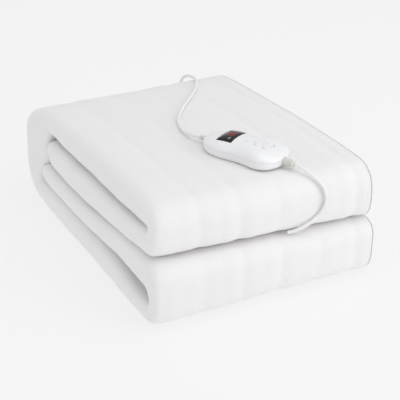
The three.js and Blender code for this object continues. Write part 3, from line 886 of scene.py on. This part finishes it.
def relief(x, along):
    """How far the wire channels and the soft unevenness of the cloth move its outer side.

    The lengths of the sine waves are set in millimetres, so that no wave repeats another.
    """
    drift = 2.4 * np.sin(along / 170 + 0.6) + 1.4 * np.sin(along / 67 + x / 300)
    phase = (x + drift - WIRE_FROM) / WIRE_PITCH
    near = np.abs(phase - np.round(phase)) * WIRE_PITCH
    channel = BANK_HEIGHT * np.exp(-(((near - BANK_FROM_CHANNEL) / BANK_HALF_WIDE) ** 2))
    channel -= CHANNEL_DEPTH * np.exp(-((near / CHANNEL_HALF_WIDE) ** 2))
    faded = 0.7 + 0.3 * np.sin(along / 210 + np.round(phase) * 1.9)
    swell = BROAD_SWELL * np.sin(x / 47 + 1.1 + np.sin(along / 120)) * np.sin(along / 88 + 0.4)
    swell += SMALL_SWELL * np.sin(x / 23 + along / 61) * np.sin(along / 37 - x / 90)
    return channel * faded + swell


def relief_share(row):
    """How much of the relief shows: all of it on the front folds, less on top, least inside and below."""
    z, radius, out_y, out_z = row[1], row[8], *row[11:13]
    forwards = max(0.0, -out_y) ** 2 if radius else 0.0
    if out_z > 0:
        least = RELIEF_ON_TOP if z > TOP_PANEL_ABOVE else RELIEF_INSIDE
        return least + (1 - least) * forwards
    return forwards if z < UNDER_PANEL_BELOW or radius else RELIEF_INSIDE


def pad_surface():
    """Middle line, way out and half thickness of the cloth, for every row of the strip."""
    middle = STRIP[:, :2] + STRIP[:, 8:9] * (STRIP[:, 9:11] + STRIP[:, 11:13]) / 2
    along = lengths_along(middle)
    places, halves, widths = [], [], []
    for j, row in enumerate(STRIP):
        y, z, thick, left, right, skew, slope, slack, radius = row[:9]
        round_way, full_way = row[9:11], row[11:13]
        left += sum(high * math.sin(along[j] / long + start) for high, long, start in EDGE_WAVES)
        x, t = cloth_across(thick, left, right).T
        outward = np.clip(t / thick + 0.5, 0, 1)
        hanging = slack * np.clip(0.5 - t / (SLACK_PLIES * thick), 0, 1)
        hanging = hanging * ease((x - SLACK_FROM) / (SLACK_TO - SLACK_FROM))
        t = t + relief(x, along[j]) * outward * relief_share(row)
        tip = math.exp(-along[j] / TIP_REACH) - math.exp(-(along[-1] - along[j]) / TIP_REACH)
        set_back = tip * TIP_ROUNDING * (2 * t / thick) ** 2
        ways = round_way + (full_way - round_way) * outward[:, None]
        out = (radius + t)[:, None] * ways
        ry, rz = full_way[1], -full_way[0]
        places.append(
            np.column_stack(
                [
                    x,
                    y + skew * x + out[:, 0] - hanging + ry * set_back,
                    z + slope * x + out[:, 1] + rz * set_back - PLY_GAP / 2,
                ]
            )
        )
        halves.append((thick / 4 - PLY_GAP) / 2)
        widths.append(lengths_along(np.column_stack([x, t])))
    places = np.array(places)
    ways = np.cross(np.gradient(places, axis=1), np.gradient(places, axis=0))
    ways /= np.linalg.norm(ways, axis=2, keepdims=True)
    return places, ways, np.array(halves), np.mean(widths, axis=0), along


# Height as a share of the thickness, distance from the edge and half width
HEM_ROLL = (0.03, 4.0, 3.0)
HEM_GROOVE = (-0.14, 9.5, 2.2)


def hem_fullness(inwards):
    """How full the cloth is at a distance from its long edges."""
    fullness = 1.0
    for height, middle, half_wide in (HEM_ROLL, HEM_GROOVE):
        fullness = fullness + height * np.exp(-(((inwards - middle) / half_wide) ** 2))
    return fullness


def make_pad():
    """The whole cloth: a flat slab with rounded rims, laid on the folded surface."""
    places, ways, halves, across, along = pad_surface()
    flat_thick = 2 * float(halves.mean())
    maker = bmesh.new()
    bmesh.ops.create_grid(maker, x_segments=len(across) - 1, y_segments=len(along) - 1, size=0.5)
    for vert in maker.verts:
        i = round((vert.co.x + 0.5) * (len(across) - 1))
        j = round((vert.co.y + 0.5) * (len(along) - 1))
        vert.co = Vector((across[i], along[j], flat_thick / 2))
    slab = bmesh.ops.extrude_face_region(maker, geom=maker.faces[:])["geom"]
    bmesh.ops.translate(maker, verts=only_verts(slab), vec=(0, 0, -flat_thick))
    rims = [e for e in maker.edges if len(e.link_faces) == 2 and e.calc_face_angle(0) > 1]
    rounding = RIM_ROUNDING * flat_thick
    bmesh.ops.bevel(maker, geom=rims, offset=rounding, segments=2, profile=0.5, affect="EDGES", material=-1)
    flat = np.array([vert.co for vert in maker.verts])
    i = np.clip(np.interp(flat[:, 0], across, np.arange(len(across))), 0, len(across) - 1.001)
    j = np.clip(np.interp(flat[:, 1], along, np.arange(len(along))), 0, len(along) - 1.001)
    i0, j0 = i.astype(int), j.astype(int)
    fi, fj = (i - i0)[:, None], (j - j0)[:, None]

    def at(grid):
        near = grid[j0, i0] * (1 - fi) + grid[j0, i0 + 1] * fi
        far = grid[j0 + 1, i0] * (1 - fi) + grid[j0 + 1, i0 + 1] * fi
        return near * (1 - fj) + far * fj

    half = np.interp(j, np.arange(len(halves)), halves)[:, None]
    half = half * hem_fullness(np.minimum(flat[:, :1], across[-1] - flat[:, :1]))
    side = flat[:, 2:] / (flat_thick / 2)
    folded = (at(places) + at(ways) * half * side) * MM
    for vert, place in zip(maker.verts, folded):
        vert.co = place
    bmesh.ops.recalc_face_normals(maker, faces=maker.faces)
    pad = finish_piece(bare_object("folded_pad", maker), FLEECE)
    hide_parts("pad")


make_pad()


# The controller

# It is made in its own frame, in millimetres: u runs along it, v across it, and the third axis up.
CONTROLLER_PLACE = in_millimetres((20.5, -141.5, 170.95), -64)
PARTING_HEIGHT = 11.5
PARTING_GAP = 0.2
CROWN_HEIGHT = 27.0
CROWN_FULLNESS = 2.1
CROWN_STEPS = 26
CROWN_FLAT = 0.6  # of one more step is left for the flat middle
SHELL_WIDTHS = [
    (-63.2, 9.5),
    (-57, 19),
    (-47, 26.5),
    (-34, 30.5),
    (-20, 31.6),
    (-5, 30.6),
    (8, 30.2),
    (20, 31.8),
    (32, 33.8),
    (43, 33.8),
    (53, 29.5),
    (60, 21),
    (64, 10),
]
SHELL_ENDS = (-65.0, 65.0)
SHELL_SIDES = 144
OUTLINE_STEP = 0.8
# The rounded foot of the base: share of the outline and height
SHELL_FOOT = [
    (0.88, 0.0),
    (0.925, 0.35),
    (0.955, 1.1),
    (0.975, 2.2),
    (0.988, 3.8),
    (0.997, 6.0),
    (1.0, 8.5),
]


def shell_outline():
    """The outline of both shell halves, as evenly spaced points of u and v."""
    near = [(u, -half) for u, half in SHELL_WIDTHS]
    far = [(u, half) for u, half in reversed(SHELL_WIDTHS)]
    loop = [(SHELL_ENDS[0], 0), *near, (SHELL_ENDS[1], 0), *far]
    loop = [(u, v, 0) for u, v in loop]
    line = smooth_route([*loop[-2:], *loop, *loop[:3]], OUTLINE_STEP) / MM
    start = int(np.argmin(np.linalg.norm(line[: len(line) // 3] - loop[0], axis=1)))
    length = lengths_along(line)
    later = len(line) // 2 + int(np.argmin(np.linalg.norm(line[len(line) // 2 :] - loop[0], axis=1)))
    marks = np.linspace(length[start], length[later], SHELL_SIDES, endpoint=False)
    return np.column_stack([np.interp(marks, length, line[:, k]) for k in (0, 1)])


OUTLINE = shell_outline()
OUTLINE_ANGLES = np.unwrap(np.arctan2(OUTLINE[:, 1], OUTLINE[:, 0]))
OUTLINE_REACH = np.hypot(OUTLINE[:, 0], OUTLINE[:, 1])


def crown_height(u, v):
    """Height of the cover's outer surface over a point."""
    start = OUTLINE_ANGLES[0]
    angle = (math.atan2(v, u) - start) % (2 * math.pi) + start
    reach = np.interp(
        angle,
        np.append(OUTLINE_ANGLES, OUTLINE_ANGLES[0] + 2 * math.pi),
        np.append(OUTLINE_REACH, OUTLINE_REACH[0]),
    )
    share = min(1.0, math.hypot(u, v) / float(reach))
    rise = (1 - share**CROWN_FULLNESS) ** (1 / CROWN_FULLNESS)
    return PARTING_HEIGHT + (CROWN_HEIGHT - PARTING_HEIGHT) * rise


def shell_body(levels):
    """A closed body with the shell's outline at each level of (share of the outline, height)."""
    maker = bmesh.new()
    ring = bmesh.ops.create_circle(maker, segments=SHELL_SIDES, radius=1.0, cap_ends=True)["verts"]
    ring = sorted(ring, key=lambda vert: math.atan2(vert.co.y, vert.co.x) % (2 * math.pi))
    previous, foot = levels[0]
    start = int(np.argmin(np.abs(OUTLINE_ANGLES % (2 * math.pi))))
    for vert, (u, v) in zip(ring, np.roll(OUTLINE * previous, -start, axis=0)):
        vert.co = Vector((u, v, foot))
    edges = list(maker.edges)
    for share, height in levels[1:]:
        verts, edges = extruded(maker, edges)
        grow = share / previous
        for vert in verts:
            vert.co = Vector((vert.co.x * grow, vert.co.y * grow, height))
        previous = share
    capped(maker, edges)
    return maker


def cut(piece, cutters):
    """Takes each cutter away from the piece for good."""
    for cutter in cutters:
        modifier = piece.modifiers.new("cut", "BOOLEAN")
        modifier.operation = "DIFFERENCE"
        modifier.solver = "EXACT"
        modifier.object = cutter
    bpy.context.view_layer.update()
    evaluated = piece.evaluated_get(bpy.context.evaluated_depsgraph_get())
    mesh = bpy.data.meshes.new_from_object(evaluated)
    piece.modifiers.clear()
    piece.data = mesh
    for cutter in cutters:
        bpy.data.objects.remove(cutter)


ABOVE_CROWN = 40.0
WINDOW_MIDDLE = -21.7
WINDOW_HALF = (12.5, 20.75)
WINDOW_CORNER = 1.6
WINDOW_CORNER_STEPS = 5
WINDOW_DEPTH = 1.6
WINDOW_TOP_SHARES = (0.97, 0.9, 0.78, 0.64, 0.5, 0.36, 0.22, 0.1)
WINDOW_SUNK = 0.05
WINDOW_PRISM_TOP = 30.0
BUTTON_HALF = (5.2, 11.5)
BUTTON_PLACES = {"button_level": 24.6, "button_timer": 38.4}
BUTTON_BODIES = {"button_level": "level_button", "button_timer": "timer_button"}
BUTTON_BOTTOM = 17.0
BUTTON_TRAVEL = 1.0
BUTTON_SIDES = 56
# The button's rounded top: share of its outline and height above the crown
BUTTON_TOP = [(1.0, 0.25), (0.985, 0.62), (0.95, 0.86), (0.88, 1.0), (0.7, 1.08), (0.45, 1.1), (0.2, 1.1)]
FIT_GAP = 0.3


def window_corners(grow):
    """The window's outline with its rounded corners, anticlockwise."""
    a, b = (half + grow - WINDOW_CORNER for half in WINDOW_HALF)
    points = []
    for quarter, (su, sv) in enumerate(((1, 1), (-1, 1), (-1, -1), (1, -1))):
        for k in range(WINDOW_CORNER_STEPS + 1):
            angle = math.pi / 2 * (quarter + k / WINDOW_CORNER_STEPS)
            u = WINDOW_MIDDLE + su * a + WINDOW_CORNER * math.cos(angle)
            points.append((u, sv * b + WINDOW_CORNER * math.sin(angle)))
    return points


def prism(outline, low, high):
    maker = bmesh.new()
    face = maker.faces.new([maker.verts.new((u, v, low)) for u, v in outline])
    made = bmesh.ops.extrude_face_region(maker, geom=[face])["geom"]
    bmesh.ops.translate(maker, verts=only_verts(made), vec=(0, 0, high - low))
    bmesh.ops.recalc_face_normals(maker, faces=maker.faces)
    return maker


def button_outline(middle, grow):
    a, b = (half + grow for half in BUTTON_HALF)
    turns = [2 * math.pi * k / BUTTON_SIDES for k in range(BUTTON_SIDES)]
    return [(middle + a * math.cos(t), b * math.sin(t)) for t in turns]


RELIEFS = {
    "relief_mains": {"way": -1, "root": 3.9, "tip": 3.3, "reach": 11.5, "ribs": 3},
    "relief_pad": {"way": 1, "root": 5.8, "tip": 5.3, "reach": 16.0, "ribs": 4},
}
RELIEF_HEIGHT = 8.0
RELIEF_IN_SHELL = 4.0
RELIEF_SIDES = 40
RELIEF_HOLE_END = 84.0


def relief_holes(name):
    """Two bodies to take away, one at each end, where the strain reliefs enter the shell."""
    holes = []
    for relief_facts in RELIEFS.values():
        way = relief_facts["way"]
        radius = relief_facts["root"] + FIT_GAP
        inner = SHELL_ENDS[1] - RELIEF_IN_SHELL - FIT_GAP
        start, end = sorted((way * inner, way * RELIEF_HOLE_END))
        maker = spun([(start, 0), (start, radius), (end, radius), (end, 0)], RELIEF_SIDES)
        bmesh.ops.translate(maker, verts=maker.verts, vec=(0, 0, RELIEF_HEIGHT))
        holes.append(bare_object(name + "_hole", maker))
    return holes


def place_controller(piece, material, body="pad_set", smooth_angle=32):
    piece.data.transform(CONTROLLER_PLACE)
    return finish_piece(piece, material, body, smooth_angle)


def make_shell():
    """Both halves of the shell. Gives back the height of the floor of the window's pocket."""
    lower = [*SHELL_FOOT, (1.0, PARTING_HEIGHT - PARTING_GAP / 2)]
    base = bare_object("shell_base", shell_body(lower))
    cut(base, relief_holes("base"))
    place_controller(base, SHELL)
    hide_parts("controller_base")
    upper = [(1.0, PARTING_HEIGHT + PARTING_GAP / 2)]
    for k in range(1, CROWN_STEPS + 1):
        angle = math.pi / 2 * k / (CROWN_STEPS + CROWN_FLAT)
        share = math.cos(angle) ** (2 / CROWN_FULLNESS)
        rise = math.sin(angle) ** (2 / CROWN_FULLNESS)
        upper.append((share, PARTING_HEIGHT + (CROWN_HEIGHT - PARTING_HEIGHT) * rise))
    cover = bare_object("shell_cover", shell_body(upper))
    window_floor = min(crown_height(u, v) for u, v in window_corners(0)) - WINDOW_DEPTH
    cutters = relief_holes("cover")
    cutters.append(bare_object("pocket", prism(window_corners(FIT_GAP), window_floor, ABOVE_CROWN)))
    for middle in BUTTON_PLACES.values():
        well = prism(button_outline(middle, FIT_GAP), BUTTON_BOTTOM - 2 * BUTTON_TRAVEL, ABOVE_CROWN)
        cutters.append(bare_object("well", well))
    cut(cover, cutters)
    place_controller(cover, SHELL)
    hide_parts("controller_cover")
    return window_floor


def make_window(window_floor):
    """The dark pane: its top follows the crown and its edge goes down into the pocket."""
    outer = window_corners(0)
    maker = prism(outer, window_floor + FIT_GAP, WINDOW_PRISM_TOP)
    top = max(maker.faces, key=lambda face: face.calc_center_median().z)
    bmesh.ops.delete(maker, geom=[top], context="FACES_ONLY")
    rim = [e for e in maker.edges if len(e.link_faces) == 1]
    for share in WINDOW_TOP_SHARES:
        verts, rim = extruded(maker, rim)
        for vert in verts:
            u, v = vert.co.x - WINDOW_MIDDLE, vert.co.y
            grow = share / box_share(u, v) * limit_at(outer, u, v)
            vert.co.x, vert.co.y = WINDOW_MIDDLE + u * grow, v * grow
    capped(maker, rim)
    for vert in maker.verts:
        if vert.co.z > window_floor + FIT_GAP + WINDOW_SUNK:
            vert.co.z = crown_height(vert.co.x, vert.co.y) - WINDOW_SUNK
    pane = bare_object("window_pane", maker)
    place_controller(pane, WINDOW, smooth_angle=40)
    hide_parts("display_window")


def box_share(u, v):
    """How far out a point of the window lies, as a share of its box."""
    return max(abs(u) / WINDOW_HALF[0], abs(v) / WINDOW_HALF[1])


def limit_at(outer, u, v):
    """How far out the window's rounded outline reaches in the way of a point, as a share of its box."""
    angle = math.atan2(v, u)
    best = max(outer, key=lambda p: math.cos(math.atan2(p[1], p[0] - WINDOW_MIDDLE) - angle))
    return box_share(best[0] - WINDOW_MIDDLE, best[1])


def make_button(name, middle):
    maker = bmesh.new()
    ring = bmesh.ops.create_circle(maker, segments=BUTTON_SIDES, radius=1.0, cap_ends=True)["verts"]
    for vert in ring:
        vert.co = Vector((middle + BUTTON_HALF[0] * vert.co.x, BUTTON_HALF[1] * vert.co.y, BUTTON_BOTTOM))
    edges = list(maker.edges)
    previous = 1.0
    for share, proud in BUTTON_TOP:
        verts, edges = extruded(maker, edges)
        for vert in verts:
            u = middle + (vert.co.x - middle) * share / previous
            v = vert.co.y * share / previous
            vert.co = Vector((u, v, crown_height(u, v) + proud))
        previous = share
    capped(maker, edges)
    button = bare_object(name + "_cap", maker)
    place_controller(button, BUTTON, BUTTON_BODIES[name])
    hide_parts(name)


PRINT_LIFT = 0.02
BAR_STEP = 2.0
SHORT_BAR = 3.0
LENGTH_TOLERANCE = 1e-4


def strip_form(maker, start, end, width, thick):
    """A thin bar from one point to another, cut along its length so that it can follow the crown."""
    (u0, v0), (u1, v1) = start, end
    length = math.hypot(u1 - u0, v1 - v0)
    turn = math.atan2(v1 - v0, u1 - u0)
    cube = bmesh.ops.create_cube(maker, size=1.0)["verts"]
    place = (
        Matrix.Translation(((u0 + u1) / 2, (v0 + v1) / 2, 0))
        @ Matrix.Rotation(turn, 4, "Z")
        @ Matrix.Diagonal((length, width, thick, 1.0))
    )
    bmesh.ops.transform(maker, matrix=place, verts=cube)
    faces = {face for vert in cube for face in vert.link_faces}
    edges = {edge for face in faces for edge in face.edges}
    long_edges = [e for e in edges if abs(e.calc_length() - length) < LENGTH_TOLERANCE]
    if length > SHORT_BAR:
        bmesh.ops.subdivide_edges(maker, edges=long_edges, cuts=round(length / BAR_STEP), use_grid_fill=True)


def make_print(name, bars, width, thick, material):
    """Thin bars laid on the crown: their heights become heights above its surface."""
    maker = bmesh.new()
    for start, end in bars:
        strip_form(maker, start, end, width, thick)
    for vert in maker.verts:
        vert.co.z = crown_height(vert.co.x, vert.co.y) + PRINT_LIFT + vert.co.z
    place_controller(bare_object(name, maker), material, smooth_angle=30)


# The bars of a figure: each from one corner to another of a box two bars high
FIGURE_BARS = {
    "top": ((0, 2), (1, 2)),
    "upper left": ((0, 1), (0, 2)),
    "upper right": ((1, 1), (1, 2)),
    "middle": ((0, 1), (1, 1)),
    "lower left": ((0, 0), (0, 1)),
    "lower right": ((1, 0), (1, 1)),
    "bottom": ((0, 0), (1, 0)),
}
FIGURES = {
    0: ("top", "upper left", "upper right", "lower left", "lower right", "bottom"),
    8: ("top", "upper left", "upper right", "middle", "lower left", "lower right", "bottom"),
}


FIGURE_SIDES = {0: -4.4, 8: 2.4}  # where each figure's left side is
FIGURE_FOOT = WINDOW_MIDDLE + 5.0
FIGURE_BAR = 4.6
FIGURE_WIDTH = 0.85
FIGURE_THICK = 0.1
MARK_WIDTH = 0.7
MARK_THICK = 0.06
TRIANGLE = ((-16.6, -14.6), (-20.2, -12.2), (-16.6, -9.8))
# Two plain marks between the display and the buttons, and one beside the second button
MARKS = (((8.3, -10.6), (8.3, -6.8)), ((6.6, 8.8), (9.2, 12.6)), ((44.0, 8.6), (46.4, 2.6)))


def figure_bars():
    """The bars of the lit figures, read from the side of the window that faces the buttons."""
    bars = []
    for figure, side in FIGURE_SIDES.items():
        for bar in FIGURES[figure]:
            ends = FIGURE_BARS[bar]
            bars.append([(FIGURE_FOOT - FIGURE_BAR * up, side + FIGURE_BAR * across) for across, up in ends])
    return bars


# One rib of a strain relief: share of the ribs' pitch, and depth below the sleeve's surface
RIB_SHAPE = ((0, 1.15), (0.36, 1.2), (0.46, 0.12), (0.56, 0), (0.82, 0), (0.92, 0.12))
# Its tip: distance from the end, and depth
TIP_SHAPE = ((1.4, 0), (0.5, 0), (0.15, 0.25), (0, 0.7))
RIBS_START = 1.2
RIBS_END = 1.6
COLLAR_END = 0.8


def relief_profile(root, tip, reach, ribs, **_):
    """The sleeve's profile from inside the shell to its tip, as pairs of along and radius."""
    profile = [(-RELIEF_IN_SHELL, 0), (-RELIEF_IN_SHELL, root), (COLLAR_END, root)]
    pitch = (reach - RIBS_END - RIBS_START) / ribs
    for k in range(ribs):
        at = RIBS_START + k * pitch
        radius = root + (tip - root) * at / reach
        profile += [(at + share * pitch, radius - depth) for share, depth in RIB_SHAPE]
    profile += [(reach - back, tip - depth) for back, depth in TIP_SHAPE]
    return [*profile, (reach, 0)]


def make_reliefs():
    for name, facts in RELIEFS.items():
        maker = spun(relief_profile(**facts), RELIEF_SIDES)
        if facts["way"] < 0:
            turned = Matrix.Rotation(math.pi, 3, "Z")
            bmesh.ops.rotate(maker, verts=maker.verts, cent=(0, 0, 0), matrix=turned)
        bmesh.ops.translate(maker, verts=maker.verts, vec=(facts["way"] * SHELL_ENDS[1], 0, RELIEF_HEIGHT))
        sleeve = bare_object(name + "_sleeve", maker)
        place_controller(sleeve, RELIEF, smooth_angle=35)
        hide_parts(name)


make_window(make_shell())
for button, middle in BUTTON_PLACES.items():
    make_button(button, middle)
make_print("display_figures", figure_bars(), FIGURE_WIDTH, FIGURE_THICK, DIGITS)
triangle_bars = zip(TRIANGLE, (*TRIANGLE[1:], TRIANGLE[0]))
make_print("display_triangle", triangle_bars, MARK_WIDTH, MARK_THICK, PALE_MARK)
make_print("printed_marks", MARKS, MARK_WIDTH, MARK_THICK, MARK)
make_reliefs()


# Floor and light

FLOOR_HALF = 12.0
WHITE = (1.0, 1.0, 1.0, 1.0)
ROOM_STRENGTH = 0.72
# Name, place, aim, size and watts
LAMPS = [
    ("front_lamp", (1.3, -2.0, 0.9), (0, -0.1, 0.1), 1.4, 15.0),
    ("top_lamp", (0.4, -0.6, 2.6), (0, 0, 0), 2.4, 14.0),
    ("left_lamp", (-2.2, -0.4, 0.9), (-0.17, 0, 0.1), 1.6, 2.5),
]


def make_floor():
    """A wide pale floor that glows a little, as in the photograph's blown-out white."""
    maker = bmesh.new()
    bmesh.ops.create_grid(maker, x_segments=4, y_segments=4, size=FLOOR_HALF)
    floor = bare_object("floor", maker)
    material, _, shader = new_material("pale_floor")
    set_inputs(
        shader,
        {
            "Base Color": (0.25, 0.25, 0.25, 1.0),
            "Emission Color": WHITE,
            "Emission Strength": 0.67,
            "Roughness": 0.9,
            "Specular IOR Level": 0.1,
        },
    )
    floor.data.materials.append(material)


def add_lamp(name, place, aim, size, watts):
    data = bpy.data.lights.new(name, "AREA")
    data.shape = "SQUARE"
    data.size = size
    data.energy = watts
    lamp = link_object(name, data)
    lamp.location = place
    lamp.rotation_euler = (Vector(aim) - Vector(place)).to_track_quat("-Z", "Y").to_euler()


def make_light():
    world = bpy.data.worlds.new("soft_room")
    bpy.context.scene.world = world
    world.use_nodes = True
    set_inputs(world.node_tree.nodes["Background"], {"Color": WHITE, "Strength": ROOM_STRENGTH})
    for lamp in LAMPS:
        add_lamp(*lamp)
    bpy.context.scene.view_settings.view_transform = "Standard"


make_floor()
make_light()
